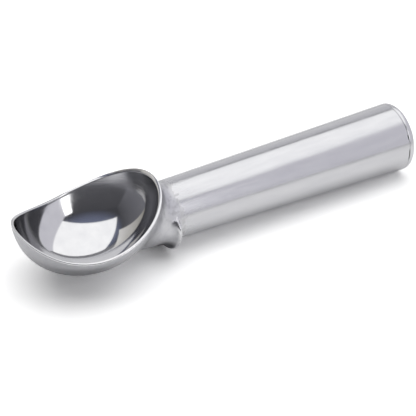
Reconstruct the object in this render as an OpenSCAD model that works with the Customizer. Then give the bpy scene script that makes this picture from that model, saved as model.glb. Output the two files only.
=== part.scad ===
// Ice cream scoop: one aluminium casting, with its bowl, neck, hooked lug and hollow handle,
// and the end cap that closes the handle.
// Millimetres. The scoop lies on a table as it would be put down, on its lug and on the edge of
// its end cap, with the open bowl facing up. X runs from the bowl to the end cap, Z is up.

/* [Handle] */
// From the neck to the end face, cap included
handle_l = 114.9; // [90:0.5:150]
// Diameter at the neck
neck_d = 25.1; // [22:0.1:27]
// Diameter at the end cap
end_d = 30; // [29:0.1:36]
// Wall of the hollow handle
handle_wall = 2.6; // [1.8:0.1:4]
// Solid metal between the neck and the start of the bore
bore_start = 5; // [2:0.5:30]

/* [Bowl] */
// Length of the egg-shaped body that the bowl is cut from
bowl_l = 61.4; // [56:0.2:66]
// Diameter of the body
bowl_d = 52.6; // [49:0.2:58]
// Middle of the body, in front of the handle
bowl_ahead = 35.6; // [34:0.1:38]
// Middle of the body, above the handle's axis
bowl_above = 14.4; // [12:0.1:16]
// Nose-down tilt of the body against the handle
bowl_tilt = 10.9; // [6:0.1:14]
// Wall at the lowest point of the rim
rim_wall = 1.3; // [1:0.1:2]
// Wall at the bottom
floor_wall = 2.2; // [1.8:0.1:3.5]
// Wall at the tip and at the handle
end_wall = 1.3; // [1:0.1:3]

/* [Rim cut] */
// Lowest point of the cut, below the middle of the body
rim_dip = 9.1; // [7:0.1:11]
// Lowest point of the cut, ahead of the middle of the body
rim_dip_ahead = 1.2; // [0:0.1:3]
// Sweep of the rim towards the tip
rim_front_r = 38.2; // [36:0.1:60]
// Sweep of the rim towards the handle
rim_back_r = 69; // [55:0.5:90]

/* [Neck and lug] */
// Diameter of the neck in front of the lug
throat_d = 25.4; // [23:0.1:27]
// Full section of the neck, in front of the handle
throat_l = 9; // [4:0.5:12]
// Rounded nose of the neck under the bowl
nose_l = 19; // [16:0.5:24]
// Width of the swelling where the neck grows out of the bowl
root_d = 26.8; // [25.6:0.2:30]
// Its length along the slope of the bowl's back
root_l = 28.6; // [26:0.2:34]
// Its middle, in front of the handle
root_ahead = 12.8; // [10:0.2:16]
// Its middle, above the handle's axis
root_above = 1; // [0:0.1:2]
// Its slope, away from upright
root_slope = 36; // [20:1:50]
// Height of the lug above the handle's surface
lug_h = 3.7; // [3.4:0.1:6]
// Thickness of the lug
lug_t = 1.6; // [1.2:0.1:3]
// Back of the lug, in front of the handle
lug_ahead = 0.9; // [0:0.1:2]
// Ends of the lug, below the handle's axis
lug_end_below = 2; // [0:0.2:4]
// Rounding at the ends of the lug
lug_end_r = 6.5; // [4:0.25:8]

/* [End cap] */
// Length of the cap outside the handle
cap_l = 3.25; // [2.8:0.05:8]
// Rounded edge of the end face
cap_round = 2.2; // [0.8:0.05:2.4]
// Length of the plug inside the handle
plug_l = 7.5; // [4:0.5:20]
// Wall of the handle around the plug
seat_wall = 1.9; // [1.2:0.1:2.4]
// Gap all round the plug
plug_gap = 0.05; // [0.02:0.01:0.2]
// Chamfer on each side of the seam
seam_chamfer = 0.2; // [0.1:0.05:0.4]

/* [Hidden] */
$fn = 96;

end_r = end_d / 2;
neck_r = neck_d / 2;
throat_r = throat_d / 2;
lug_r = neck_r + lug_h;
lug_round = lug_t / 2;
lug_x = lug_ahead + lug_round;
lug_sweep = lug_r - lug_round - throat_r;
lug_end_y = sqrt(pow(lug_r - lug_end_r, 2) - pow(lug_end_below, 2));

// Half width of the bowl's outside and inside where the rim is lowest, and the raised hollow
// whose section passes through the inside width there and floor_wall above the bottom.
rim_y = sqrt(pow(bowl_d / 2, 2) - pow(rim_dip, 2));
hollow_y = rim_y - rim_wall;
floor_r = bowl_d / 2 - floor_wall;
hollow_up = (pow(hollow_y, 2) + pow(rim_dip, 2) - pow(floor_r, 2)) / (2 * (floor_r - rim_dip));
hollow_r = floor_r + hollow_up;

// The tube ends where the cap begins.
tube_l = handle_l - cap_l;
seat_r = end_r - seat_wall;
bore_end = tube_l - plug_l;
far = 200;

// The scoop rests on the rounded edge of the lug and the rounded edge of the end cap.
// Both touch the table, so the tilt is that of the line that touches both roundings from below.
run = handle_l - cap_round + lug_x;
rise = (lug_r - lug_round) - (end_r - cap_round);
rest_tilt = asin((cap_round - lug_round) / norm([run, rise])) - atan2(rise, run);
rest_z = lug_round + (lug_r - lug_round) * cos(rest_tilt) + lug_x * sin(rest_tilt);

// The two ends of the whole scoop, so that it stands over the middle of its own length.
total_tilt = bowl_tilt + rest_tilt;
bowl_reach = norm([bowl_l / 2 * cos(total_tilt), bowl_d / 2 * sin(total_tilt)]);
tip_x = -bowl_ahead * cos(rest_tilt) - bowl_above * sin(rest_tilt) - bowl_reach;
back_x = (handle_l - cap_round) * cos(rest_tilt) + (end_r - cap_round) * abs(sin(rest_tilt))
    + cap_round;

module at_rest() {
    translate([-(tip_x + back_x) / 2, 0, rest_z])
        rotate([0, -rest_tilt, 0])
            children();
}

// A profile drawn as [radius, distance along the handle], turned about the handle's axis.
module turned() {
    rotate([0, 90, 0])
        rotate_extrude()
            children();
}

module at_bowl() {
    translate([-bowl_ahead, 0, bowl_above])
        rotate([0, -bowl_tilt, 0])
            children();
}

// An egg-shaped body of revolution about the bowl's long axis.
module egg(half_l, r) {
    turned()
        intersection() {
            scale([r, half_l])
                circle(r = 1);
            translate([0, -far / 2])
                square([far, far]);
        }
}

module bowl_body() {
    at_bowl()
        egg(bowl_l / 2, bowl_d / 2);
}

// The hollow is the same form, smaller and raised, so that the wall grows from rim_wall at the
// lowest point of the rim to floor_wall at the bottom.
module bowl_hollow() {
    at_bowl()
        translate([0, 0, hollow_up])
            egg(bowl_l / 2 - end_wall, hollow_r);
}

// Everything above the rim: two sweeps that meet smoothly at the lowest point of the rim.
module above_rim() {
    at_bowl()
        translate([-rim_dip_ahead, 0, -rim_dip])
            rotate([90, 0, 0])
                linear_extrude(height = far, center = true) {
                    intersection() {
                        translate([0, rim_front_r])
                            circle(r = rim_front_r);
                        translate([-far, -far / 2])
                            square([far, 2 * far]);
                    }
                    intersection() {
                        translate([0, rim_back_r])
                            circle(r = rim_back_r);
                        translate([0, -far / 2])
                            square([far, 2 * far]);
                    }
                }
}

// The neck carries the handle's round section on under the bowl, and ends in a rounded nose
// that runs out on the bowl's underside.
module neck() {
    turned()
        translate([0, -throat_l])
            intersection() {
                scale([throat_r, nose_l])
                    circle(r = 1);
                translate([0, -far])
                    square([far, far]);
            }
    turned()
        translate([0, -throat_l])
            square([throat_r, throat_l]);
}

// A swelling round the root of the neck, laid along the slope of the bowl's back, softens the
// corner between the neck and the bowl.
module neck_root() {
    translate([-root_ahead, 0, root_above])
        rotate([0, root_slope - 90, 0])
            egg(root_l / 2, root_d / 2);
}

// The lug is a thin flange round the lower side of the neck, with a hollow sweep in front,
// a flat back and a rounded edge. Its two ends round off into the sides of the neck.
module lug_ring() {
    turned()
        translate([0, -lug_ahead]) {
            translate([lug_r - lug_round, -lug_round])
                circle(r = lug_round);
            translate([0, -lug_t])
                square([lug_r - lug_round, lug_t]);
            difference() {
                translate([0, -lug_t - lug_sweep])
                    square([throat_r + lug_sweep, lug_sweep + lug_round]);
                translate([throat_r + lug_sweep, -lug_t - lug_sweep])
                    circle(r = lug_sweep);
            }
        }
}

module lug_outline() {
    rotate([90, 0, 90])
        linear_extrude(height = far, center = true) {
            polygon([
                [0, 0],
                [far * lug_end_y, -far * lug_end_below],
                [far * lug_end_y, -far * far],
                [-far * lug_end_y, -far * far],
                [-far * lug_end_y, -far * lug_end_below]
            ]);
            for (side = [-1, 1])
                translate([side * lug_end_y, -lug_end_below])
                    circle(r = lug_end_r);
        }
}

module lug() {
    intersection() {
        lug_ring();
        lug_outline();
    }
}

module handle_tube() {
    turned()
        polygon([
            [0, -lug_ahead],
            [neck_r, -lug_ahead],
            [neck_r, 0],
            [end_r - seam_chamfer * (end_r - neck_r) / tube_l, tube_l - seam_chamfer],
            [end_r - seam_chamfer, tube_l],
            [0, tube_l]
        ]);
}

// The bore follows the taper of the handle, closes in a short cone at the neck, and opens
// into a wider seat for the cap's plug.
module handle_bore() {
    front_r = neck_r + (end_r - neck_r) * bore_start / tube_l - handle_wall;
    back_r = neck_r + (end_r - neck_r) * bore_end / tube_l - handle_wall;
    turned() {
        polygon([
            [0, bore_start],
            [front_r - 3, bore_start],
            [front_r, bore_start + 3],
            [back_r, bore_end + 1],
            [0, bore_end + 1]
        ]);
        translate([0, bore_end])
            square([seat_r, plug_l + 1]);
    }
}

module scoop_casting() {
    color("#C9CBCE")
        at_rest()
            difference() {
                union() {
                    bowl_body();
                    neck();
                    neck_root();
                    lug();
                    handle_tube();
                }
                bowl_hollow();
                above_rim();
                handle_bore();
            }
}

module end_cap() {
    color("#BFC1C4")
        at_rest()
            turned() {
                difference() {
                    polygon([
                        [0, tube_l],
                        [end_r - seam_chamfer, tube_l],
                        [end_r, tube_l + seam_chamfer],
                        [end_r, handle_l],
                        [0, handle_l]
                    ]);
                    difference() {
                        translate([end_r - cap_round, handle_l - cap_round])
                            square([cap_round + 1, cap_round + 1]);
                        translate([end_r - cap_round, handle_l - cap_round])
                            circle(r = cap_round);
                    }
                }
                polygon([
                    [0, bore_end + plug_gap],
                    [seat_r - plug_gap - 0.6, bore_end + plug_gap],
                    [seat_r - plug_gap, bore_end + plug_gap + 0.6],
                    [seat_r - plug_gap, tube_l],
                    [0, tube_l]
                ]);
            }
}

scoop_casting();
end_cap();
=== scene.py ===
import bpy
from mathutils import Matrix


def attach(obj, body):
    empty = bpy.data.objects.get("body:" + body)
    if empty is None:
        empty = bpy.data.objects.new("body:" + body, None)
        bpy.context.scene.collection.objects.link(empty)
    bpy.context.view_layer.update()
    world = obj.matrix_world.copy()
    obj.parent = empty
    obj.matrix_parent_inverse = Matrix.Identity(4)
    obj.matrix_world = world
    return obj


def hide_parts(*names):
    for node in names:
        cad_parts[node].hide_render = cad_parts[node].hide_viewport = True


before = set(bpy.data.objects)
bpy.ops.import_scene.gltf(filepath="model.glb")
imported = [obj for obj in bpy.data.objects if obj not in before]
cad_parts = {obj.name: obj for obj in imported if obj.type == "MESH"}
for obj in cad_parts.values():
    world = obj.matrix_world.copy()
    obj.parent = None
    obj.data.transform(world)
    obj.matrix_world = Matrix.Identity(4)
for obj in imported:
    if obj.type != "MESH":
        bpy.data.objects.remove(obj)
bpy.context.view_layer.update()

# %% [markdown]
# # An ice cream scoop in cast and polished aluminium
#
# The scoop is two pieces of metal: one casting, which is the bowl, the neck, the hooked lug and
# the hollow handle, and a turned cap that closes the handle's end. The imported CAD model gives
# the size and the place of both. Blender gives what a mould and a polishing wheel leave behind:
# soft joins between the forms, a mirror inside the bowl, a finer satin outside, and the studio
# that all this metal reflects.

# %% Tools and units
import math

import bmesh
import bpy
import numpy as np
from mathutils import Vector

MM = 0.001

# %% [markdown]
# Operators act on everything that is selected, and loading the frame leaves its nodes selected.
# So one small helper clears the selection before a primitive is added, and another gives a new
# object its name and takes it in hand as the active one.

# %% Selection helpers


def hands_off():
    """Leaves edit mode and deselects everything."""
    if bpy.context.object and bpy.context.object.mode != "OBJECT":
        bpy.ops.object.mode_set(mode="OBJECT")
    bpy.ops.object.select_all(action="DESELECT")


def take(obj, name=None):
    """Makes obj the only selected object and the active one, and may give it a name."""
    hands_off()
    if name:
        obj.name = name
        obj.data.name = name
    obj.select_set(True)
    bpy.context.view_layer.objects.active = obj
    return obj


def report(obj):
    """Prints how many faces a piece has and how far it reaches, in mm."""
    co = np.array([v.co for v in obj.data.vertices])
    print(obj.name, len(obj.data.polygons), "faces, from", (co.min(0) / MM).round(2).tolist(),
          "to", (co.max(0) / MM).round(2).tolist())


hands_off()
print("helpers ready")

# %% [markdown]
# The sizes are those of the CAD model, in millimetres. X runs along the handle from the neck to
# the end cap, and the bowl lies on the other side of zero. The handle is a long plain taper, and
# the cap closes it behind a small chamfer, the seam.

# %% Sizes of the handle and the cap
HANDLE_L = 114.9
NECK_R = 12.55
END_R = 15.0
CAP_L = 3.25
CAP_ROUND = 2.2
SEAM = 0.2
TUBE_L = HANDLE_L - CAP_L
print("handle", HANDLE_L, "mm long, and", 2 * NECK_R, "to", 2 * END_R, "mm thick")

# %% [markdown]
# The bowl is an egg of revolution, tilted against the handle. Its hollow is the same form, smaller
# and raised, so that the wall grows from the rim to the bottom. The rim is a saddle cut through
# both, in a tight sweep towards the tip and a long one towards the handle.

# %% Sizes of the bowl
BOWL_MIDDLE = np.array([-35.6, 0.0, 14.4])
BOWL_TILT = math.radians(10.9)
BODY = np.array([30.7, 26.3, 26.3])
RIM_WALL = 1.3
FLOOR_WALL = 2.2
END_WALL = 1.3
RIM_DIP = 9.1
RIM_DIP_AHEAD = 1.2
RIM_FRONT_R = 38.2
RIM_BACK_R = 69.0
rim_in_y = math.sqrt(BODY[1] ** 2 - RIM_DIP**2) - RIM_WALL
floor_r = BODY[1] - FLOOR_WALL
HOLLOW_UP = (rim_in_y**2 + RIM_DIP**2 - floor_r**2) / (2 * (floor_r - RIM_DIP))
HOLLOW = np.array([BODY[0] - END_WALL, floor_r + HOLLOW_UP, floor_r + HOLLOW_UP])
print("bowl", 2 * BODY[0], "mm long and", 2 * BODY[1], "mm wide, hollow", (2 * HOLLOW).round(2))

# %% [markdown]
# A hand at a grinding belt doesn't leave the rim as the mould drew it. Both corners are rounded,
# the inner one by RIM_IN and the outer one by RIM_OUT, and by TIP_OUT more on the near side
# towards the tip. On the near side the land is crowned by RIM_RISE and falls by RIM_DROP to its
# outer edge. On the far side it stands up by FAR_UP, falls by FAR_DROP, and leans inwards by
# FAR_LEAN beside the handle. The larger CROWN is, the later the land falls. These are tenths of
# a millimetre, but a mirror finish shows each of them as a line of its own.

# %% Sizes of the ground rim
RIM_IN = 0.25
RIM_OUT = 0.45
TIP_OUT = 0.4
RIM_RISE = 0.1
RIM_DROP = 0.16
FAR_UP = 0.3
FAR_DROP = 0.05
FAR_LEAN = 0.28
CROWN = 1.6
print("rim wall", RIM_WALL, "mm, less", RIM_IN, "and", RIM_OUT, "mm at its corners")

# %% [markdown]
# The neck is round, with a nose that runs out under the bowl. The lug is a thin flange round its
# lower side. The metal sweeps up to the lug from the front, in a wide curve below and a tight one
# at the lug's two ends. LUG_END is the middle of the rounding at each end.

# %% Sizes of the neck and the lug
THROAT_R = 12.6
THROAT_L = 9.0
NOSE_L = 19.0
FILLET = 7.0
LUG_R = 16.25
LUG_T = 1.6
LUG_ROUND = LUG_T / 2
LUG_AHEAD = 0.9
LUG_END_R = 6.5
LUG_END_BELOW = 2.0
LUG_END = np.array([math.sqrt((LUG_R - LUG_END_R) ** 2 - LUG_END_BELOW**2), -LUG_END_BELOW])
SWEEP_UNDER = 6.0
SWEEP_END = 2.6
SWEEP_UP = LUG_R - LUG_ROUND - THROAT_R
print("the lug stands", round(LUG_R - NECK_R, 2), "mm above the handle")

# %% [markdown]
# The scoop rests on two roundings, that of the lug and that of the cap. Both touch the table, so
# the handle tilts by the line that touches both from below, and the origin lies under the middle
# of the whole length.

# %% How the scoop rests
run = HANDLE_L - CAP_ROUND + LUG_AHEAD + LUG_ROUND
rise = (LUG_R - LUG_ROUND) - (END_R - CAP_ROUND)
REST_TILT = math.asin((CAP_ROUND - LUG_ROUND) / math.hypot(run, rise)) - math.atan2(rise, run)
rest_cos, rest_sin = math.cos(REST_TILT), math.sin(REST_TILT)
bowl_reach = math.hypot(BODY[0] * math.cos(BOWL_TILT + REST_TILT),
                        BODY[1] * math.sin(BOWL_TILT + REST_TILT))
tip_x = BOWL_MIDDLE[0] * rest_cos - BOWL_MIDDLE[2] * rest_sin - bowl_reach
back_x = (HANDLE_L - CAP_ROUND) * rest_cos + (END_R - CAP_ROUND) * abs(rest_sin) + CAP_ROUND
rest_z = LUG_ROUND + (LUG_R - LUG_ROUND) * rest_cos + (LUG_AHEAD + LUG_ROUND) * rest_sin
REST_AT = np.array([-(tip_x + back_x) / 2, 0.0, rest_z])
print("rests tilted by", round(math.degrees(REST_TILT), 3), "degrees, moved by",
      REST_AT.round(4).tolist(), "mm")

# %% [markdown]
# Three places are used: the bowl's own, the handle's, and the table's. A point goes from the
# bowl to the handle by the bowl's tilt, and from the handle to the table by the small tilt at
# which the scoop rests on its lug and its end cap.

# %% From bowl to handle to table


def tilted(p, angle):
    """Turns points by angle: the bowl's end goes down and the handle's end up."""
    c, s = math.cos(angle), math.sin(angle)
    return np.stack([p[..., 0] * c - p[..., 2] * s, p[..., 1], p[..., 0] * s + p[..., 2] * c], -1)


def bowl_to_handle(p):
    """Points given from the middle of the bowl, from the handle's start."""
    return tilted(p, BOWL_TILT) + BOWL_MIDDLE


def handle_to_bowl(p):
    """The same the other way."""
    return tilted(p - BOWL_MIDDLE, -BOWL_TILT)


def handle_to_table(p):
    """Points in the handle's millimetres, in the frame's metres."""
    return (tilted(p, REST_TILT) + REST_AT) * MM


print("handle axis starts at", handle_to_table(np.zeros(3)).round(4).tolist(), "m")

# %% [markdown]
# In the mould the bowl, the neck and the lug were one cavity, so no edge stays between them.
# A distance formula says how far a point is from each form, and a soft minimum joins two of
# them with a fillet instead of a crease. The skin of the casting is then every point where the
# joined distance is zero.

# %% Soft joins


def soft_min(a, b, k):
    """The smaller of a and b, with a fillet where they differ by less than k."""
    h = np.maximum(k - np.abs(a - b), 0) / k
    return np.minimum(a, b) - h * h * k / 4


def soft_max(a, b, k):
    """The larger of a and b, with a rounding where they differ by less than k."""
    return -soft_min(-a, -b, k)


def eased(value, low, high):
    """0 below low, 1 above high, and a smooth step between."""
    t = np.clip((value - low) / (high - low), 0, 1)
    return t * t * (3 - 2 * t)


print("the fillet fills", -soft_min(0.0, 0.0, FILLET), "mm of a corner")

# %% The neck and the lug as distances


def off_egg(q, radii):
    """Distance to an egg at the origin, exact on its surface and near it."""
    k0 = np.linalg.norm(q / radii, axis=-1)
    k1 = np.linalg.norm(q / radii**2, axis=-1)
    return k0 * (k0 - 1) / np.maximum(k1, 1e-9)


STEP_FROM, STEP_TO = -2.0, 0.5


def off_neck(p):
    """The round neck and its nose under the bowl, a small step, then the handle's taper."""
    x = p[..., 0]
    nose = np.stack([np.minimum(x + THROAT_L, 0), p[..., 1], p[..., 2]], -1)
    body = off_egg(nose, np.array([NOSE_L, THROAT_R, THROAT_R]))
    taper = (END_R - NECK_R) * np.maximum(x, 0) / TUBE_L
    return body + (THROAT_R - NECK_R) * eased(x, STEP_FROM, STEP_TO) - taper


WIDE_TO, TIGHT_FROM = 72, 104
BACK_SOFT, EDGE_SOFT = 1.3, 1.5


def lug_sweep(from_below):
    """Radius and start of the sweep in front of the lug, at an angle in degrees from below."""
    radius = SWEEP_UNDER - (SWEEP_UNDER - SWEEP_END) * eased(from_below, WIDE_TO, TIGHT_FROM)
    return radius, -LUG_AHEAD - LUG_T - np.sqrt(2 * radius * SWEEP_UP - SWEEP_UP**2)


def off_lug(p):
    """The flange under the neck: hollow sweep in front, flat back, rounded edge and ends."""
    x, y, z = p[..., 0], np.abs(p[..., 1]), p[..., 2]
    rho = np.hypot(y, z)
    sweep, fx = lug_sweep(np.degrees(np.arctan2(y, -z)))
    dx, dr = np.maximum(x - fx, 0), np.maximum(THROAT_R + sweep - rho, 0)
    front = np.maximum(sweep - np.hypot(dx, dr), fx - x)
    back = x + LUG_AHEAD
    below = z * LUG_END[0] - y * LUG_END[1] < 0
    outline = np.where(below, rho - LUG_R, np.hypot(y - LUG_END[0], z - LUG_END[1]) - LUG_END_R)
    return soft_max(soft_max(front, back, BACK_SOFT), outline, EDGE_SOFT)


print("neck", 2 * THROAT_R, "mm thick, with a lug of", 2 * LUG_R, "mm")

# %% The whole casting as one distance
CORNER_FRONT, CORNER_BACK = 0.05, 0.9
CORNER_FROM, CORNER_TO = -2.2, -1.4


def off_casting(p):
    """The bowl joined to the neck, and the lug joined to both, closer in front than behind."""
    bowl = off_egg(handle_to_bowl(p), BODY)
    behind = np.clip((p[..., 0] - CORNER_FROM) / (CORNER_TO - CORNER_FROM), 0, 1)
    corner = CORNER_FRONT + (CORNER_BACK - CORNER_FRONT) * behind
    return soft_min(soft_min(bowl, off_neck(p), FILLET), off_lug(p), corner)


tip = bowl_to_handle(np.array([-BODY[0], 0.0, 0.0]))
print("the tip of the bowl is", abs(off_casting(tip)).round(3), "mm off the skin")

# %% [markdown]
# A point near the skin is put on it by Newton's steps: it moves along the slope of the distance
# until the distance is gone. No step is longer than 1.5 mm, so that a point can't jump across a
# fold of the form.

# %% Putting points on the skin
NUDGE = 0.01
LONGEST_STEP = 1.5


def slope(p, distance, flat=None):
    """Gradient of a distance by small differences. flat keeps a point in its own plane."""
    grads = []
    for axis in range(3):
        step = np.zeros(3)
        step[axis] = NUDGE
        grads.append((distance(p + step) - distance(p - step)) / (2 * NUDGE))
    g = np.stack(grads, -1)
    if flat is not None:
        g = g - (g * flat).sum(-1, keepdims=True) * flat
    return g


def onto_skin(p, distance, flat=None, steps=4):
    """Moves points on to the surface where the distance is zero."""
    for _ in range(steps):
        g = slope(p, distance, flat)
        d = distance(p)[..., None]
        move = d / np.maximum((g * g).sum(-1, keepdims=True), 1e-6)
        p = p - np.clip(move, -LONGEST_STEP, LONGEST_STEP) * g
    return p


print("steps of up to", LONGEST_STEP, "mm")

# %% [markdown]
# The skin has 192 columns of vertices round its length. The angle of a column says where it
# stands on the bowl: its cosine grows towards the handle and its sine towards the far side.

# %% Columns round the casting
COLUMNS = 192
turn = np.arange(COLUMNS) * 2 * math.pi / COLUMNS
to_back, to_far = np.cos(turn), np.sin(turn)
print(COLUMNS, "columns round the casting")

# %% [markdown]
# The rim is where each column of the egg meets the saddle cut. The cut rises in a tight sweep
# towards the tip and in a long one towards the handle. A boolean would find this line too, but
# it leaves a ragged strip of small faces along it. Halving the angle of each column fifty times
# puts one clean vertex of every column on the line.

# %% The line of the rim
HALVINGS = 50
LOW_SIDE, HIGH_SIDE = 0.6, 2.2


def cut_height(x):
    """Height of the saddle cut in the bowl's own frame."""
    ahead = x + RIM_DIP_AHEAD
    r = np.where(ahead < 0, RIM_FRONT_R, RIM_BACK_R)
    return -RIM_DIP + r - np.sqrt(np.maximum(r * r - ahead * ahead, 0))


def on_egg(radii, up, polar):
    """Points of an egg's columns at an angle from its lowest point."""
    return np.stack([radii[0] * to_back * np.sin(polar), radii[1] * to_far * np.sin(polar),
                     up - radii[2] * np.cos(polar) + 0 * turn], -1)


def rim_angle(radii, up):
    """Angle of each column, in radians, at which the egg meets the saddle cut."""
    low, high = np.full(COLUMNS, LOW_SIDE), np.full(COLUMNS, HIGH_SIDE)
    for _ in range(HALVINGS):
        mid = (low + high) / 2
        p = on_egg(radii, up, mid)
        above = p[:, 2] > cut_height(p[:, 0])
        low, high = np.where(above, low, mid), np.where(above, mid, high)
    return (low + high) / 2


inner_rim = rim_angle(HOLLOW, HOLLOW_UP)
outer_rim = rim_angle(BODY, 0.0)
print("rim between", np.degrees([outer_rim.min(), outer_rim.max()]).round(1), "degrees")

# %% [markdown]
# The skin is laid out as rings, from the lowest point of the hollow up to the rim, over the rim,
# down the outside of the bowl, on to the neck, over the lug and along the handle to its end.
# Each ring notes its zone, which later says what finish it has.

# %% Rings of the hollow
HOLLOW_RINGS = 44
rings, zones = [], []


def lay_ring(ring, zone):
    """Adds a ring of points to the skin, and notes its zone."""
    rings.append(ring)
    zones.append(zone)


last_in = inner_rim - RIM_IN / HOLLOW[2]
for i in range(1, HOLLOW_RINGS + 1):
    lay_ring(bowl_to_handle(on_egg(HOLLOW, HOLLOW_UP, last_in * i / HOLLOW_RINGS)), "hollow")
print(len(rings), "rings up the hollow")

# %% [markdown]
# The rim is the line that the eye follows, so it gets the closest rings. Going round, each
# column knows how far it is on the far side, beside the handle or towards the tip, from 0 to 1,
# and the land is raised, leaned and rounded by that much. The limits are sines and cosines of
# the column's angle, set wide apart so that no change shows as a step.

# %% The land of the rim
far = eased(to_far, -0.1, 0.35)
far_by_handle = eased(to_far, -0.15, 0.3) * eased(to_back, -0.3, 0.6)
near_by_tip = eased(-to_far, 0.05, 0.4) * eased(-to_back, 0.1, 0.6)
crown = RIM_RISE * (1 - far)
stand = FAR_UP * eased(to_far, -0.4, 0.5)
drop = RIM_DROP * (1 - far) + FAR_DROP * far * (1 - far_by_handle)
round_out = RIM_OUT + TIP_OUT * near_by_tip
inner = on_egg(HOLLOW, HOLLOW_UP, inner_rim)
outer = on_egg(BODY, 0.0, outer_rim)
first_out = on_egg(BODY, 0.0, outer_rim - (round_out + drop) / BODY[2])
width = np.linalg.norm(outer - inner, axis=1)


def on_land(part):
    """Points across the rim's land, which is crowned and falls towards its outer edge."""
    p = inner + (outer - inner) * np.reshape(part, (-1, 1))
    part = np.ravel(part)
    p[:, 2] = cut_height(p[:, 0]) + stand - FAR_LEAN * far_by_handle * (1 - part)
    p[:, 2] += crown - (crown + drop) * part**CROWN
    return p


print("the land is", width.min().round(2), "to", width.max().round(2), "mm wide")

# %% Rings over the rim


def curve(p0, p1, p2, t):
    """A corner rounded from p0 to p2, pulled towards p1."""
    return (1 - t) ** 2 * p0 + 2 * t * (1 - t) * p1 + t * t * p2


land_in, land_out = RIM_IN / width, 1 - round_out / width
wall_top = on_egg(HOLLOW, HOLLOW_UP, last_in)
for t in (0.17, 0.34, 0.5, 0.66, 0.83, 1.0):
    lay_ring(bowl_to_handle(curve(wall_top, on_land(0.0), on_land(land_in), t)), "rim")
for t in (0.33, 0.67):
    lay_ring(bowl_to_handle(on_land(land_in + (land_out - land_in) * t)), "rim")
for t in np.linspace(0, 1, 10):
    lay_ring(bowl_to_handle(curve(on_land(land_out), on_land(1.0), first_out, t)), "rim")
print(len(rings), "rings up to the outside of the rim")

# %% [markdown]
# The outside of the bowl runs into the neck without an edge. From the rim to the neck a column
# starts as a straight swing round the middle of the bowl, and then settles on the joined skin.
# The swing ends at a ring round the neck, which stands further back over the top, where the bowl
# reaches the handle.

# %% The ring round the neck
NECK_RING_X, TOP_RING_X = -8.2, -2.0
neck_x = NECK_RING_X + (TOP_RING_X - NECK_RING_X) * eased(to_back, 0.36, 1.0)
plane = np.stack([0 * turn, to_back, -to_far], -1)
spoke = np.stack([0 * turn, to_far, to_back], -1)
seed = spoke * (THROAT_R + 0.2) + neck_x[:, None] * [1, 0, 0]
neck_ring = onto_skin(seed, off_casting, plane, steps=12)
print("the ring round the neck stands between", neck_x.min(), "and", neck_x.max(), "mm")

# %% From the rim to the neck in a swing
BOWL_RINGS = 64
start = (rings[-1] - BOWL_MIDDLE) / BODY
end = (neck_ring - BOWL_MIDDLE) / BODY
start_size = np.linalg.norm(start, axis=1, keepdims=True)
end_size = np.linalg.norm(end, axis=1, keepdims=True)
start, end = start / start_size, end / end_size
swing = np.arccos(np.clip((start * end).sum(1), -1, 1))[:, None]
share = (np.arange(1, BOWL_RINGS) / BOWL_RINGS)[:, None, None]
skin = (np.sin((1 - share) * swing) * start + np.sin(share * swing) * end) / np.sin(swing)
skin = skin * (start_size * (1 - share) + end_size * share) * BODY + BOWL_MIDDLE
skin = onto_skin(skin, off_casting, steps=8)
print("longest swing", np.degrees(swing.max()).round(1), "degrees")

# %% [markdown]
# The first swing leaves some faces long and some crowded. So the points are spaced evenly along
# each column, then drawn towards their neighbours at both sides and put back on the skin, a few
# times over. That keeps the faces close to square, so that the satin shows no dents.

# %% From the rim to the neck, evenly
ROUNDS = 12
PULL = 0.3


def evenly(points):
    """Spaces the points of every column evenly along its own line."""
    out = points.copy()
    for c in range(COLUMNS):
        walk = np.linalg.norm(np.diff(points[:, c], axis=0), axis=1)
        walk = np.concatenate([[0], np.cumsum(walk)])
        even = np.linspace(0, walk[-1], len(walk))
        for axis in range(3):
            out[:, c, axis] = np.interp(even, walk, points[:, c, axis])
    return out


for _ in range(ROUNDS):
    full = evenly(np.concatenate([rings[-1][None], skin, neck_ring[None]]))
    for _ in range(4):
        side = (np.roll(full, 1, 1) + np.roll(full, -1, 1)) / 2 - full
        full[1:-1] = full[1:-1] + PULL * side[1:-1]
    skin = onto_skin(full[1:-1], off_casting, steps=2)
skin = onto_skin(skin, off_casting, steps=4)
for ring in list(skin) + [neck_ring]:
    lay_ring(ring, "outside")
print("largest step off the skin:", np.abs(off_casting(skin)).max().round(4), "mm")

# %% [markdown]
# The lug is the hook under the neck that keeps the bowl off the table. It flares from the neck
# like the bell of a trumpet, wide below and tight at its two ends, and its back is flat. A disc
# joined to the neck would leave a hard corner, so the lug gets close rings of its own: up the
# flare, round the edge, and down the back into a small fillet on the handle.

# %% The profile of the lug
BACK_FILLET = 0.5
edge_rho = LUG_R - LUG_ROUND
edge_x = -LUG_AHEAD - LUG_ROUND
fillet_top = np.array([-LUG_AHEAD, NECK_R + BACK_FILLET])
fillet_corner = np.array([-LUG_AHEAD, NECK_R])
fillet_end = np.array([-LUG_AHEAD + BACK_FILLET, NECK_R])
profile = []
column_from_below = np.degrees(np.arctan2(np.abs(to_far), -to_back))
sweep, sweep_x = lug_sweep(column_from_below)
for t in np.linspace(0, 1, 14):
    a = t * np.arccos(1 - SWEEP_UP / sweep)
    profile.append((sweep_x + sweep * np.sin(a), THROAT_R + sweep * (1 - np.cos(a))))
for a in np.radians(np.linspace(-90, 90, 17))[1:]:
    profile.append((edge_x + LUG_ROUND * math.sin(a), edge_rho + LUG_ROUND * math.cos(a)))
for rho in np.linspace(edge_rho, NECK_R + BACK_FILLET, 9)[1:]:
    profile.append((-LUG_AHEAD, rho))
for t in (0.25, 0.5, 0.75, 1.0):
    profile.append(tuple(curve(fillet_top, fillet_corner, fillet_end, t)))
profile.append((-0.1, NECK_R))
print(len(profile), "stations in the profile of the lug")

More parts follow.
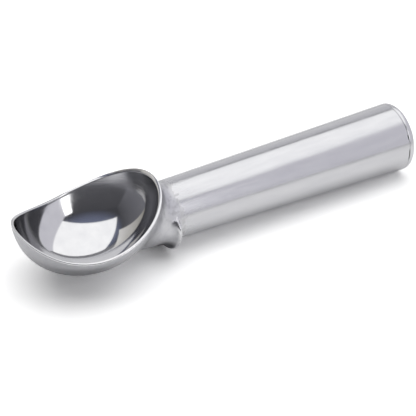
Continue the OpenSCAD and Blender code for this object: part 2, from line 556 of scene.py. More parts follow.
# %% [markdown]
# The lug reaches only round the lower side. At each column its rounded end says how high it
# stands, from 0 to 1, and the profile is lowered to that share. END_SPAN is how far round, in
# degrees, a line from the axis still meets the rounding. Over the top, where there is no lug, the
# same rings run on flat to the handle.

# %% Rings over the lug
END_SPAN = 41
end_out = math.hypot(*LUG_END)
end_angle = math.degrees(math.atan2(LUG_END[0], -LUG_END[1]))
past_end = np.radians(np.clip(column_from_below - end_angle, 0, END_SPAN))
reach = end_out * np.cos(past_end)
reach = reach + np.sqrt(LUG_END_R**2 - (end_out * np.sin(past_end)) ** 2)
lug_height = np.clip((reach - THROAT_R) / (LUG_R - THROAT_R), 0, 1)
share = (np.arange(1, len(profile) + 1) / (len(profile) + 1))[:, None]
flat_x = neck_x + (profile[-1][0] - neck_x) * share
for k, (x, rho) in enumerate(profile):
    up = THROAT_R + (rho - THROAT_R) * lug_height
    at = flat_x[k] + (x - flat_x[k]) * np.clip(lug_height * 4, 0, 1)
    seed = spoke * up[:, None] + at[:, None] * [1, 0, 0]
    lay_ring(onto_skin(seed, off_casting, plane, steps=8), "outside")
print("the lug ends", column_from_below[lug_height > 0].max(), "degrees from below")

# %% [markdown]
# The handle is a plain taper, with a small chamfer at the seam. Rings stand close together at its
# two ends, so that the shading bends only where the metal does. SATIN_TO is where the satin ends,
# and SEAM_MARK is how much of the other end an open seam darkens.

# %% Rings of the handle


def round_ring(x, r):
    """A ring of radius r round the handle's axis."""
    return spoke * r + np.array([x, 0, 0])


def handle_r(x):
    """Radius of the taper."""
    return NECK_R + (END_R - NECK_R) * x / TUBE_L


HANDLE_RINGS = 28
SATIN_TO = 0.4
SEAM_MARK = 0.4
for x in (0.15, 0.3, 0.5, 0.9):
    lay_ring(round_ring(x, handle_r(x)), "outside" if x < SATIN_TO else "handle")
along = list(np.linspace(0.9, TUBE_L - SEAM_MARK - 0.15, HANDLE_RINGS)[1:])
for x in along + [TUBE_L - SEAM_MARK]:
    lay_ring(round_ring(x, handle_r(x)), "handle")
for x, r in ((TUBE_L - SEAM, END_R - 0.01), (TUBE_L - 0.08, END_R - 0.07),
             (TUBE_L - 0.01, END_R - 0.2), (TUBE_L, END_R - 0.3), (TUBE_L, END_R - 3)):
    lay_ring(round_ring(x, r), "handle")
print(len(rings), "rings in all")

# %% [markdown]
# By hand this skin starts as a cylinder that is cut into rings. Its two flat ends are fans, so
# they close the bottom of the hollow and the end of the handle. Each ring is then moved to its
# station. A boolean of separate forms would leave slivers along the rim and the neck, and a
# mirror finish shows every one of them.

# %% The casting: a cylinder cut into rings
hands_off()
bpy.ops.mesh.primitive_cylinder_add(vertices=COLUMNS, radius=1, depth=2, end_fill_type="TRIFAN")
casting = take(bpy.context.object, "scoop_casting_skin")
bpy.ops.object.mode_set(mode="EDIT")
bpy.ops.mesh.select_all(action="DESELECT")
bpy.ops.mesh.select_mode(type="EDGE")
bm = bmesh.from_edit_mesh(casting.data)
for edge in bm.edges:
    a, b = edge.verts
    edge.select = abs(a.co.z - b.co.z) > 1
bmesh.update_edit_mesh(casting.data)
bpy.ops.mesh.subdivide_edgering(number_cuts=len(rings) - 2, interpolation="LINEAR")
bpy.ops.object.mode_set(mode="OBJECT")
print(len(casting.data.vertices), "vertices, expected", len(rings) * COLUMNS + 2)

# %% The casting: rings to their stations
co = np.array([v.co for v in casting.data.vertices])
row = np.rint((1 - co[:, 2]) / 2 * (len(rings) - 1)).astype(int)
col = np.rint(np.arctan2(co[:, 1], co[:, 0]) / (2 * math.pi) * COLUMNS).astype(int) % COLUMNS
stations = np.stack(rings)
placed = stations[row, col]
in_middle = np.hypot(co[:, 0], co[:, 1]) < 0.5
hollow_floor = bowl_to_handle(np.array([0.0, 0.0, HOLLOW_UP - HOLLOW[2]]))
placed[in_middle & (co[:, 2] > 0)] = hollow_floor
placed[in_middle & (co[:, 2] < 0)] = [TUBE_L, 0, 0]
casting.data.vertices.foreach_set("co", handle_to_table(placed).astype(np.float32).ravel())
casting.data.update()
print("every vertex stands at one of", stations.shape[0] * stations.shape[1], "stations")

# %% [markdown]
# The finish follows the tools, so the mesh carries what the tools knew, as named attributes
# that the materials read:
#
# - bob_lay runs with the polishing bob, round the bowl and down its wall.
# - bobbed is the band below the rim where the bob left marks. It is widest beside the handle.
# - wheel is how hard the wheel bore on the outside. It rides on the lug's edge, and hardly
#   reaches the top of the neck, behind the bowl.
# - shaded is the corner under the neck in front of the lug, which stays almost raw, and is
#   darkened with painted shade.
# - underside_shade is painted shade on the outside of the bowl: darker underneath, and a little
#   towards the tip.
# - seam marks two short stretches where the end cap doesn't sit tight.
#
# All but the first are 0 to 1 and fade between two places: millimetres along the scoop or along
# the wall, or degrees round the handle. They were set where the real finish changes.

# %% What the polishing bob knew
at_x, at_y, at_z = np.moveaxis(stations, -1, 0)
along_wall = np.linalg.norm(np.diff(stations, axis=0), axis=2).cumsum(axis=0)
along_wall = np.vstack([0 * turn, along_wall])
below_rim = along_wall[HOLLOW_RINGS - 1] - along_wall
bob_lay = np.stack([2 * to_back + 0 * at_x, 2 * to_far + 0 * at_x, along_wall], -1)

LEAST_BOBBED = 0.35
by_handle = eased(at_x, -46.0, -18.0)
near = eased(-at_y / BODY[1], -0.2, 0.6)
band = 3.0 + 2.0 * near + 9.0 * by_handle
bobbed = eased(-below_rim, -band, -0.3 * band)
bobbed = bobbed * np.maximum(np.maximum(near, by_handle), LEAST_BOBBED)
print("deepest point", below_rim.max().round(1), "mm along the wall below the rim")

# %% What the wheel knew
rho = np.hypot(at_y, at_z)
from_below = np.degrees(np.arctan2(np.abs(at_y), -at_z))
lug_top = THROAT_R + (LUG_R - THROAT_R) * lug_height
at_lug = eased(at_x, -3.2, -2.2) * eased(-at_x, 0.2, 0.7) * eased(lug_height, 0.0, 0.1)
on_edge = at_lug * eased(rho, lug_top - 2.4, lug_top - 0.8)
in_corner = eased(at_x, -13.0, -7.0) * eased(-at_x, 2.0, 3.0)
# Painted shade: the underside of the corner in front of the lug is drawn darker, as in shadow.
shaded = in_corner * eased(-from_below, -66, -44) * (rho < LUG_R + 1)
over_neck = eased(at_x, -11.0, -6.5) * eased(-at_x, -2.0, 0.0) * eased(from_below, 95, 125)
wheel = 0.5 + 0.5 * on_edge - 0.5 * np.maximum(shaded, over_neck)

# Painted shade: the outside of the bowl is drawn darker underneath, and less so towards the tip.
TIP_SHADE = 0.55
under_bowl = eased(-below_rim, 2.0, 15.0) * eased(-at_x, 30.0, 44.0)
tip_side = (below_rim < 0) * eased(-at_x, 42.0, 58.0)
underside_shade = np.maximum(under_bowl, TIP_SHADE * tip_side)
print("the wheel bears between", wheel.min().round(2), "and", wheel.max().round(2))

# %% Where the seam is open
OPEN_SEAM = {61.0: 4.0, 92.0: 12.0}
around = np.degrees(np.arctan2(-at_y, at_z))
gaps = sum(eased(-np.abs(around - at), -half, -0.6 * half) for at, half in OPEN_SEAM.items())
gaps = gaps * eased(at_x, TUBE_L - SEAM_MARK - 0.1, TUBE_L - SEAM_MARK)
print("open at", list(OPEN_SEAM), "degrees from the top, on the near side")

# %% The marks on the mesh


def mark(obj, name, kind, values):
    """Keeps one value for each vertex under a name that a material can read."""
    layer = obj.data.attributes.new(name, kind, "POINT")
    layer.data.foreach_set("vector" if kind == "FLOAT_VECTOR" else "value", np.ravel(values))


tool_marks = {"wheel": wheel, "shaded": shaded, "bobbed": bobbed, "underside_shade": underside_shade, "seam": gaps}
for name, values in tool_marks.items():
    mark(casting, name, "FLOAT", values[row, col])
mark(casting, "bob_lay", "FLOAT_VECTOR", bob_lay[row, col] * MM)
mark(casting, "ring", "INT", row)
print("marks:", list(tool_marks), "bob_lay and ring")

# %% The casting: closed, smooth and in place
take(casting)
bpy.ops.object.mode_set(mode="EDIT")
bpy.ops.mesh.select_all(action="SELECT")
bpy.ops.mesh.remove_doubles(threshold=1e-7)
bpy.ops.mesh.normals_make_consistent(inside=False)
bpy.ops.object.mode_set(mode="OBJECT")
bpy.ops.object.shade_smooth()
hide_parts("scoop_casting")
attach(casting, "root")
report(casting)

# %% [markdown]
# The cap is a turned disc that closes the hollow handle. It could be spun from a profile, but a
# cylinder whose two rims are bevelled gives the same form in fewer steps: a wide rounding at the
# end face and a small one at the seam, where it meets the small chamfer of the handle.

# %% The end cap
FLAT_ANGLE = math.radians(35)
hands_off()
bpy.ops.mesh.primitive_cylinder_add(
    vertices=COLUMNS, radius=END_R, depth=CAP_L, end_fill_type="TRIFAN")
cap = take(bpy.context.object, "end_cap_turned")


def bevel_ring(obj, z, width, segments):
    """Rounds the ring of edges at height z."""
    bpy.ops.object.mode_set(mode="EDIT")
    bpy.ops.mesh.select_all(action="DESELECT")
    bpy.ops.mesh.select_mode(type="EDGE")
    ring = bmesh.from_edit_mesh(obj.data)
    for e in ring.edges:
        e.select = all(abs(v.co.z - z) < 1e-4 and v.co.xy.length > 1 for v in e.verts)
    bmesh.update_edit_mesh(obj.data)
    bpy.ops.mesh.bevel(offset=width, segments=segments, affect="EDGES", clamp_overlap=False)
    bpy.ops.object.mode_set(mode="OBJECT")


bevel_ring(cap, CAP_L / 2, CAP_ROUND, 14)
bevel_ring(cap, -CAP_L / 2, SEAM, 2)
co = np.array([v.co for v in cap.data.vertices])
placed = np.stack([co[:, 2] + TUBE_L + CAP_L / 2, co[:, 0], co[:, 1]], -1)
cap.data.vertices.foreach_set("co", handle_to_table(placed).astype(np.float32).ravel())
cap.data.update()
bpy.ops.object.mode_set(mode="EDIT")
bpy.ops.mesh.select_all(action="SELECT")
bpy.ops.mesh.normals_make_consistent(inside=False)
bpy.ops.object.mode_set(mode="OBJECT")
bpy.ops.object.shade_smooth_by_angle(angle=FLAT_ANGLE)
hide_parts("end_cap")
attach(cap, "root")
report(cap)

# %% [markdown]
# Colours are written as on a screen and turned to the linear values that the shaders use.
# One helper adds a node with its settings and its links. A Map Range whose ends aren't given
# runs from 0 to 1.

# %% Colour and node helpers


def linear(hex_code):
    """An sRGB colour such as #C0C0C0 as linear values with alpha."""
    parts = [int(hex_code[i:i + 2], 16) / 255 for i in (1, 3, 5)]
    return tuple(c / 12.92 if c <= 0.04045 else ((c + 0.055) / 1.055) ** 2.4 for c in parts) + (1.0,)


def add_node(tree, kind, settings=None, inputs=None):
    """Adds a shader node. An input is a value, a socket, or a node that gives its first output."""
    node = tree.nodes.new("ShaderNode" + kind)
    for name, value in (settings or {}).items():
        setattr(node, name, value)
    for name, value in (inputs or {}).items():
        if isinstance(value, bpy.types.Node):
            value = next(socket for socket in value.outputs if socket.enabled)
        if isinstance(value, bpy.types.NodeSocket):
            tree.links.new(value, node.inputs[name])
        else:
            node.inputs[name].default_value = value
    return node


def new_material(name):
    """A material with an empty node tree, and the tree itself."""
    material = bpy.data.materials.new(name)
    material.use_nodes = True
    material.node_tree.nodes.clear()
    return material, material.node_tree


RGBA = {"data_type": "RGBA"}
SMOOTH = {"interpolation_type": "SMOOTHSTEP"}
print("mid grey #808080 is", round(linear("#808080")[0], 3), "in linear light")

# %% [markdown]
# The hollow is polished to a mirror with a felt bob, so that ice cream slides off. The bob can't
# turn close to the rim, where it leaves fine marks that run round the bowl. To the eye this is a
# sharp picture of the studio, bent by a faint ripple, that goes soft and scratched near the rim.
# The real scratches are a few hundredths of a millimetre wide, finer than the render shows, so
# they are drawn about 0.9 mm apart. No picture is painted on: all of it is reflection.

# %% Mirror-polished aluminium: the hollow
mirror, tree = new_material("mirror_polished_aluminium")
place = add_node(tree, "TexCoord").outputs["Object"]
lay = add_node(tree, "Attribute", {"attribute_name": "bob_lay"}).outputs["Vector"]
worked = add_node(tree, "Attribute", {"attribute_name": "bobbed"}).outputs["Fac"]
marks = add_node(tree, "TexNoise", inputs={"Vector": lay, "Scale": 1 / (0.9 * MM), "Detail": 2.0})
clouds = add_node(tree, "TexNoise", inputs={"Vector": place, "Scale": 1 / (5 * MM), "Detail": 2.0})
rough = add_node(tree, "MapRange", inputs={
    "Value": worked, "To Min": 0.07, "To Max": 0.21})
rough = add_node(tree, "Math", {"operation": "MULTIPLY_ADD"}, {0: clouds, 1: 0.03, 2: rough})
tint = add_node(tree, "Mix", RGBA, {"Factor": clouds, "A": linear("#DADADB"), "B": linear("#CACACD")})
ripple = add_node(tree, "TexNoise", inputs={"Vector": place, "Scale": 1 / (14 * MM), "Detail": 0.0})
relief = add_node(tree, "Bump", inputs={"Height": ripple, "Distance": 0.04 * MM, "Strength": 1.0})
strength = add_node(tree, "MapRange", inputs={"Value": worked, "To Min": 0.02, "To Max": 0.8})
relief = add_node(tree, "Bump", inputs={
    "Height": marks, "Distance": 0.045 * MM, "Strength": strength, "Normal": relief})
metal = add_node(tree, "BsdfPrincipled", inputs={
    "Base Color": tint, "Metallic": 1.0, "Roughness": rough, "Normal": relief})
add_node(tree, "OutputMaterial", inputs={"Surface": metal})
print(mirror.name, len(tree.nodes), "nodes")

# %% [markdown]
# The rim is ground and then buffed with the outside, so it is smooth, with a few small nicks
# where it has met other cutlery. It gives the eye one thin bright line round the bowl.

# %% Buffed aluminium: the rim
rim_metal, tree = new_material("buffed_rim_aluminium")
place = add_node(tree, "TexCoord").outputs["Object"]
nicks = add_node(tree, "TexNoise", inputs={"Vector": place, "Scale": 1 / (1.6 * MM), "Detail": 3.0})
rough = add_node(tree, "MapRange", inputs={
    "Value": nicks, "From Min": 0.35, "From Max": 0.65, "To Min": 0.1, "To Max": 0.16})
tint = add_node(tree, "Mix", RGBA, {"Factor": nicks, "A": linear("#DEDEDF"), "B": linear("#CECED1")})
relief = add_node(tree, "Bump", inputs={"Height": nicks, "Distance": 0.012 * MM, "Strength": 0.6})
metal = add_node(tree, "BsdfPrincipled", inputs={
    "Base Color": tint, "Metallic": 1.0, "Roughness": rough, "Normal": relief})
add_node(tree, "OutputMaterial", inputs={"Surface": metal})
print(rim_metal.name, len(tree.nodes), "nodes")

# %% [markdown]
# Outside, the casting keeps a satin skin: the wheel only smooths what the mould left. Reflections
# spread out into a soft grey that follows the form. The metal is a little lumpy and mottled where
# the wheel hardly reached and brightest on the lug's edge. Under the bowl, and a little towards
# the tip, it is darker with painted shade. In the corner in front of the lug it is almost raw and
# stained, and darker still with painted shade. The lumps are those of a sand mould, 1 to 2 mm
# wide.

# %% Satin cast aluminium: the outside of the bowl, the neck and the lug
satin, tree = new_material("satin_cast_aluminium")
place = add_node(tree, "TexCoord").outputs["Object"]
wheel_reach = add_node(tree, "Attribute", {"attribute_name": "wheel"}).outputs["Fac"]
lumps = add_node(tree, "TexNoise", inputs={"Vector": place, "Scale": 1 / (1.7 * MM), "Detail": 3.0})
grit = add_node(tree, "TexNoise", inputs={"Vector": place, "Scale": 1 / (0.5 * MM), "Detail": 2.0})
blotch = add_node(tree, "MapRange", SMOOTH, {"Value": lumps, "From Min": 0.36, "From Max": 0.64})
tint = add_node(tree, "Mix", RGBA, {"Factor": blotch, "A": linear("#C5C5C9"), "B": linear("#CBCBCE")})
unpolished = add_node(tree, "MapRange", inputs={
    "Value": wheel_reach, "From Min": 0.45, "From Max": 0.1})
stains = add_node(tree, "MapRange", SMOOTH, {
    "Value": lumps, "From Min": 0.52, "From Max": 0.3, "To Min": 0.0, "To Max": unpolished})
tint = add_node(tree, "Mix", RGBA, {"Factor": stains, "A": tint, "B": linear("#B8B8BB")})
# Painted shade: the underside of the bowl and its tip side are darkened towards #9C9CA0.
painted_dark_underside = add_node(tree, "Attribute", {"attribute_name": "underside_shade"}).outputs["Fac"]
tint = add_node(tree, "Mix", RGBA, {"Factor": painted_dark_underside, "A": tint, "B": linear("#9C9CA0")})
# Painted shade: the corner in front of the lug is darkened towards #55555A.
painted_corner_shade = add_node(tree, "Attribute", {"attribute_name": "shaded"}).outputs["Fac"]
tint = add_node(tree, "Mix", RGBA, {"Factor": painted_corner_shade, "A": tint, "B": linear("#55555A")})
bright = add_node(tree, "MapRange", SMOOTH, {
    "Value": wheel_reach, "From Min": 0.55, "From Max": 0.9})
tint = add_node(tree, "Mix", RGBA, {"Factor": bright, "A": tint, "B": linear("#DCDCDE")})
rough = add_node(tree, "MapRange", inputs={"Value": wheel_reach, "To Min": 0.42, "To Max": 0.28})
rough = add_node(tree, "Math", {"operation": "MULTIPLY_ADD"}, {0: blotch, 1: -0.04, 2: rough})
kept = add_node(tree, "MapRange", inputs={
    "Value": wheel_reach, "From Min": 0.0, "From Max": 0.56, "To Min": 1.0, "To Max": 0.0})
relief = add_node(tree, "Bump", inputs={"Height": lumps, "Distance": 0.018 * MM, "Strength": kept})
relief = add_node(tree, "Bump", inputs={
    "Height": grit, "Distance": 0.006 * MM, "Strength": kept, "Normal": relief})
metal = add_node(tree, "BsdfPrincipled", inputs={
    "Base Color": tint, "Metallic": 1.0, "Roughness": rough, "Normal": relief})
add_node(tree, "OutputMaterial", inputs={"Surface": metal})
print(satin.name, len(tree.nodes), "nodes")

# %% [markdown]
# The handle is polished on a belt, lengthwise, so its marks are long and thin, and the studio
# shows in it as long soft bands. Towards the neck the belt was lifted off, so the polish fades
# there and ends in a ragged edge. Stretching a noise along X draws the marks: a scale of 0.06
# makes each one about sixteen times as long as it is wide.

# %% Belt-polished aluminium: the handle
POLISH_FROM, POLISH_FULL = -28.6, -27.0
LIFT_FROM, LIFT_TO = 0.0, -24.0
polished, tree = new_material("belt_polished_aluminium")
place = add_node(tree, "TexCoord").outputs["Object"]
drawn = add_node(tree, "Mapping", inputs={"Vector": place, "Scale": (0.06, 1.0, 1.0)})
streaks = add_node(tree, "TexNoise", inputs={"Vector": drawn, "Scale": 1 / (0.6 * MM), "Detail": 3.0})
drawn = add_node(tree, "Mapping", inputs={"Vector": place, "Scale": (0.2, 1.0, 1.0)})
smears = add_node(tree, "TexNoise", inputs={"Vector": drawn, "Scale": 1 / (3 * MM), "Detail": 2.0})
tint = add_node(tree, "Mix", RGBA, {"Factor": smears, "A": linear("#C6C6CA"), "B": linear("#D4D4D6")})
rough = add_node(tree, "MapRange", inputs={
    "Value": streaks, "From Min": 0.3, "From Max": 0.7, "To Min": 0.15, "To Max": 0.24})
along_x = add_node(tree, "SeparateXYZ", inputs={0: place}).outputs["X"]
lumps = add_node(tree, "TexNoise", inputs={"Vector": place, "Scale": 1 / (1.7 * MM), "Detail": 3.0})
uneven = add_node(tree, "Math", {"operation": "MULTIPLY_ADD"}, {0: lumps, 1: -9 * MM, 2: along_x})
ragged = add_node(tree, "MapRange", SMOOTH, {
    "Value": uneven, "From Min": POLISH_FULL * MM, "From Max": POLISH_FROM * MM})
rough = add_node(tree, "Math", {"operation": "MULTIPLY_ADD"}, {0: ragged, 1: 0.16, 2: rough})
lifted = add_node(tree, "MapRange", SMOOTH, {
    "Value": along_x, "From Min": LIFT_FROM * MM, "From Max": LIFT_TO * MM, "To Max": 0.06})
rough = add_node(tree, "Math", {"operation": "ADD"}, {0: rough, 1: lifted})
tint = add_node(tree, "Mix", RGBA, {"Factor": ragged, "A": tint, "B": linear("#C4C4C6")})
seam = add_node(tree, "Attribute", {"attribute_name": "seam"}).outputs["Fac"]
tint = add_node(tree, "Mix", RGBA, {"Factor": seam, "A": tint, "B": linear("#2A2A2C")})
relief = add_node(tree, "Bump", inputs={"Height": smears, "Distance": 0.02 * MM, "Strength": 1.0})
relief = add_node(tree, "Bump", inputs={
    "Height": streaks, "Distance": 0.006 * MM, "Strength": 0.8, "Normal": relief})
relief = add_node(tree, "Bump", inputs={
    "Height": lumps, "Distance": 0.03 * MM, "Strength": ragged, "Normal": relief})
metal = add_node(tree, "BsdfPrincipled", inputs={
    "Base Color": tint, "Metallic": 1.0, "Roughness": rough, "Normal": relief})
add_node(tree, "OutputMaterial", inputs={"Surface": metal})
print(polished.name, len(tree.nodes), "nodes")

# %% [markdown]
# The cap is turned on a lathe, and the tool leaves rings round the axis of the handle. Noise of
# the distance from that axis draws them, about 0.35 mm apart. They catch the light as a faint
# fan on the end face.

# %% Turned aluminium: the end cap
turned, tree = new_material("lathe_turned_aluminium")
place = add_node(tree, "TexCoord").outputs["Object"]
axis_at = handle_to_table(np.array([HANDLE_L, 0.0, 0.0]))
from_axis = add_node(tree, "Mapping", inputs={
    "Vector": place, "Location": (0.0, 0.0, -axis_at[2]), "Scale": (0.0, 1.0, 1.0)})
radius = add_node(tree, "VectorMath", {"operation": "LENGTH"}, {0: from_axis}).outputs["Value"]
grooves = add_node(tree, "TexNoise", {"noise_dimensions": "1D"}, {
    "W": radius, "Scale": 1 / (0.35 * MM), "Detail": 2.0})
rough = add_node(tree, "MapRange", inputs={
    "Value": grooves, "From Min": 0.3, "From Max": 0.7, "To Min": 0.14, "To Max": 0.24})
tint = add_node(tree, "Mix", RGBA, {"Factor": grooves, "A": linear("#C8C8CC"), "B": linear("#D6D6D8")})
relief = add_node(tree, "Bump", inputs={"Height": grooves, "Distance": 0.01 * MM, "Strength": 0.8})
metal = add_node(tree, "BsdfPrincipled", inputs={
    "Base Color": tint, "Metallic": 1.0, "Roughness": rough, "Normal": relief})
add_node(tree, "OutputMaterial", inputs={"Surface": metal})
print(turned.name, len(tree.nodes), "nodes")

# %% [markdown]
# The casting is one mesh with four finishes. Each ring was noted with its zone when it was made,
# so a face finds its finish by the last ring that it touches.

# %% Each face takes the finish of its zone
finishes = {"hollow": mirror, "rim": rim_metal, "outside": satin, "handle": polished}
for finish in finishes.values():
    casting.data.materials.append(finish)
ring_of = np.zeros(len(casting.data.vertices), np.int32)
casting.data.attributes["ring"].data.foreach_get("value", ring_of)
for face in casting.data.polygons:
    last = max(ring_of[v] for v in face.vertices)
    face.material_index = list(finishes).index(zones[last])
cap.data.materials.append(turned)
print("finishes:", [m.name for m in casting.data.materials], cap.data.materials[0].name)

# %% [markdown]
# A long lens looks down on the scoop from in front and from the side of the bowl. Its place was
# worked out from the outline of the handle and the rim, so that both fall where they should.

# %% The camera
CAMERA_AT = Vector((-0.27937, -0.46481, 0.39257))
LOOK_AT = Vector((-0.004735, 0.0, 0.010368))
LENS = 138.46
hands_off()
bpy.ops.object.camera_add(location=CAMERA_AT)
camera = bpy.context.object
camera.rotation_euler = (LOOK_AT - CAMERA_AT).to_track_quat("-Z", "Y").to_euler()
camera.data.sensor_width = 36
camera.data.lens = LENS
camera.data.dof.use_dof = False
bpy.context.scene.camera = camera
print("camera", round((LOOK_AT - CAMERA_AT).length, 3), "m from the scoop")

# %% [markdown]
# The floor is a plain pale sheet that takes the shadow. The camera sees it a little brighter, so
# that it ends up white, with the shadow kept. The metal sees it with a painted pool of light: its
# colour is painted brighter close to the scoop, where the panel hangs over it, and darker further
# out. FLOOR_NEAR and FLOOR_FAR are metres from the origin.

# %% The floor
FLOOR_SEEN = 1.65
FLOOR_NEAR, FLOOR_FAR = 0.12, 0.4
hands_off()
bpy.ops.mesh.primitive_plane_add(size=3.0, location=(0, 0, 0))
floor = take(bpy.context.object, "floor")
floor_material, tree = new_material("pale_floor")
plain = add_node(tree, "BsdfDiffuse", inputs={"Color": linear("#F4F4F4")})
seen = add_node(tree, "BsdfDiffuse", inputs={"Color": (FLOOR_SEEN, FLOOR_SEEN, FLOOR_SEEN, 1.0)})
away = add_node(tree, "VectorMath", {"operation": "LENGTH"}, {
    0: add_node(tree, "TexCoord").outputs["Object"]}).outputs["Value"]
# Painted light: the floor's colour for the metal is brighter near the scoop, a painted pool of light.
fall = add_node(tree, "MapRange", SMOOTH, {
    "Value": away, "From Min": FLOOR_NEAR, "From Max": FLOOR_FAR, "To Min": 1.2, "To Max": 0.75})
mirrored = add_node(tree, "BsdfDiffuse", inputs={"Color": fall})
path = add_node(tree, "LightPath")
pick = add_node(tree, "MixShader", inputs={0: path.outputs["Is Glossy Ray"], 1: plain, 2: mirrored})
pick = add_node(tree, "MixShader", inputs={0: path.outputs["Is Camera Ray"], 1: pick, 2: seen})
add_node(tree, "OutputMaterial", inputs={"Surface": pick})
floor.data.materials.append(floor_material)
print("floor ready")

# %% [markdown]
# Polished metal looks like what stands round it, so the studio is built as carefully as the
# scoop. Places in it are given from the bowl, as metres to the camera's right, away from the
# camera, and up. Two lamps light the scene: a large soft panel overhead, and a narrow strip at
# the camera's right. Each is made twice: once as the lamp that lights the floor, and once as the
# surface that the metal mirrors, which may then have its own outline and brightness.

# %% Places in the studio
sight = LOOK_AT - CAMERA_AT
AWAY = Vector((sight.x, sight.y, 0)).normalized()
RIGHT = Vector((AWAY.y, -AWAY.x, 0))
BOWL_AT = Vector((-0.0595, 0, 0))


def studio_point(right, away, up):
    """A place given in metres from the bowl, as the camera sees the studio."""
    return BOWL_AT + RIGHT * right + AWAY * away + Vector((0, 0, up))


print("the camera is", -round(AWAY.dot(CAMERA_AT - BOWL_AT), 3), "m in front of the bowl")

# %% Panels that glow


def glowing(name, corners, colours, strength, again=1.0):
    """A panel through four studio points, shaded from its foot to its top.

    again is what is left of it where the metal sees it a second time, in its own reflection.
    """
    hands_off()
    bpy.ops.mesh.primitive_plane_add(size=1.0)
    panel = take(bpy.context.object, name)
    for vertex, corner in zip(panel.data.vertices, (corners[0], corners[1], corners[3], corners[2])):
        vertex.co = studio_point(*corner)
    material, tree = new_material(name + "_glow")
    place = add_node(tree, "TexCoord").outputs["Object"]
    height = add_node(tree, "SeparateXYZ", inputs={0: place}).outputs["Z"]
    foot = min(corner[2] for corner in corners)
    top = max(max(corner[2] for corner in corners), foot + 0.01)
    share = add_node(tree, "MapRange", inputs={"Value": height, "From Min": foot, "From Max": top})
    tint = add_node(tree, "Mix", RGBA, {
        "Factor": share, "A": linear(colours[0]), "B": linear(colours[-1])})
    bounces = add_node(tree, "LightPath").outputs["Glossy Depth"]
    level = add_node(tree, "MapRange", inputs={
        "Value": bounces, "From Min": 1.0, "From Max": 2.0,
        "To Min": strength, "To Max": strength * again})
    light = add_node(tree, "Emission", inputs={"Color": tint, "Strength": level})
    add_node(tree, "OutputMaterial", inputs={"Surface": light})
    panel.data.materials.append(material)
    panel.visible_camera = False
    return panel


def card(name, corners, colours, strength=1.0, again=1.0):
    """A card that only the metal sees: it gives no light and throws no shadow."""
    panel = glowing(name, corners, colours, strength, again)
    panel.visible_diffuse = False
    panel.visible_shadow = False
    panel.data.materials[0].cycles.emission_sampling = "NONE"
    return panel


print("panel helpers ready")

# %% The lights
PANEL = [(-0.8, -0.4, 1.0), (0.82, -0.4, 1.0), (0.82, 0.85, 1.0), (-0.8, 0.85, 1.0)]
PANEL_SHINE = [(-0.82, -0.27, 1.0), (0.84, -0.32, 1.0), (0.88, 1.42, 1.0), (-0.54, 0.97, 1.0)]
STRIP = [(0.538, -0.80, 0.23), (0.826, -0.668, 0.23), (0.598, -0.362, 0.72), (0.434, -0.526, 0.72)]
STRIP_SHINE = [(0.561, -0.789, 0.23), (0.803, -0.679, 0.23), (0.585, -0.375, 0.72),
               (0.447, -0.513, 0.72)]
for lamp in (glowing("overhead_panel", PANEL, ["#FFFFFF"], 1.65),
             glowing("side_strip", STRIP, ["#FFFFFF"], 2.0)):
    lamp.visible_glossy = False
card("overhead_panel_shine", PANEL_SHINE, ["#FFFFFF"], 1.35, 0.92)
card("side_strip_shine", STRIP_SHINE, ["#FFFFFF"], 2.4, 0.1)
print("lights ready")

# %% [markdown]
# Pale cards stand far off, and dark flags beside and behind the camera. They give no light to
# the floor: they are there for the metal, which needs both pale and dark to look like metal. On
# the handle each card is one long band, and in the bowl each is one patch. A card has a colour
# at its foot and one at its top, because a real one is lit unevenly.

# %% The cards


def standing(name, start, end, foot, top, colours, again=1.0):
    """A card that stands from one studio point on the floor plan to another."""
    corners = [(*start, foot), (*end, foot), (*end, top), (*start, top)]
    return card(name, corners, colours, 1.0, again)


card("far_card", [(-2, 1.3, 0.01), (2, 1.3, 0.01), (2, 1.3, 0.5), (-2, 1.3, 1.3)],
     ["#E8E8EA", "#CFCFD3"])
standing("back_card", (-2, 1.5), (2, 1.5), 0.01, 1.6, ["#9C9CA0", "#88888C"])
standing("right_card", (0.8, -0.70), (0.8, 1.3), 0.01, 0.97, ["#E4E3EA"], 0.5)
standing("left_card", (-0.8, 0.28), (-0.8, 1.3), 0.01, 0.93, ["#97948B", "#F4F2EE"])
standing("near_flag", (-2, -1.2), (2, -1.2), 0.01, 1.6, ["#5E5E62", "#525256"])
standing("near_skirt", (-1.6, -1.15), (1.6, -1.15), 0.01, 0.2, ["#A0A0A6", "#64646A"])
standing("left_flag", (-1.6, -1.2), (-1.6, 1.4), 0.01, 1.6, ["#808086", "#56565A"])
standing("right_flag", (1.6, -1.2), (1.6, 1.4), 0.01, 1.6, ["#58585C"])
print("cards ready")

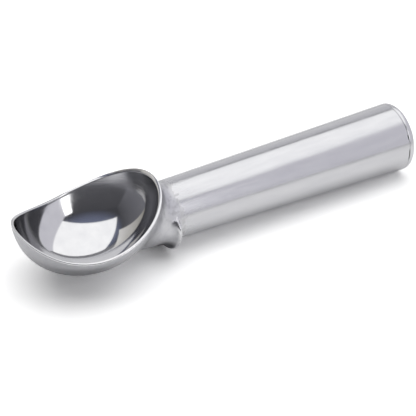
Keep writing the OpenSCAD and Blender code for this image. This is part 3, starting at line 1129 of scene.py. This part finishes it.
# %% [markdown]
# The ceiling is dark, so that the panel stands out in the bowl. Near the panel it takes some of
# its light, which is seen as a cool blue rim round the white patch. It fades from GLOW_NEAR to
# GLOW_FAR, in metres from the middle of the panel's light.

# %% The ceiling
GLOW_NEAR, GLOW_FAR = 1.0, 1.9
ceiling = card("ceiling", [(-2, -1.3, 1.6), (2, -1.3, 1.6), (2, 2.6, 1.6), (-2, 2.6, 1.6)], ["#60646E"])
tree = ceiling.data.materials[0].node_tree
place = add_node(tree, "TexCoord").outputs["Object"]
off = add_node(tree, "VectorMath", {"operation": "DISTANCE"}, {
    0: place, 1: studio_point(0.0, 0.5, 1.6)}).outputs["Value"]
share = add_node(tree, "MapRange", SMOOTH, {
    "Value": off, "From Min": GLOW_NEAR, "From Max": GLOW_FAR})
tint = add_node(tree, "Mix", RGBA, {"Factor": share, "A": linear("#767C92"), "B": linear("#4C4C50")})
light = next(node for node in tree.nodes if node.type == "EMISSION")
tree.links.new(next(socket for socket in tint.outputs if socket.enabled), light.inputs["Color"])
print("ceiling ready")

# %% [markdown]
# The world fills the shadows a little. Where the camera or the metal looks past the floor and
# the cards, it is plain white.

# %% The world
SHADOW_FILL = 0.26
world = bpy.data.worlds.new("pale_studio")
bpy.context.scene.world = world
world.use_nodes = True
tree = world.node_tree
tree.nodes.clear()
path = add_node(tree, "LightPath")
seen = add_node(tree, "Math", {"operation": "MAXIMUM"}, {
    0: path.outputs["Is Camera Ray"], 1: path.outputs["Is Glossy Ray"]})
seen = add_node(tree, "Math", {"operation": "MAXIMUM"}, {
    0: seen, 1: path.outputs["Is Transmission Ray"]})
level = add_node(tree, "Background", inputs={"Color": linear("#FFFFFF"), "Strength": SHADOW_FILL})
white = add_node(tree, "Background", inputs={"Color": linear("#FFFFFF"), "Strength": 1.0})
pick = add_node(tree, "MixShader", inputs={0: seen, 1: level, 2: white})
add_node(tree, "OutputWorld", inputs={"Surface": pick})
bpy.context.scene.view_settings.view_transform = "Standard"
print("world ready")
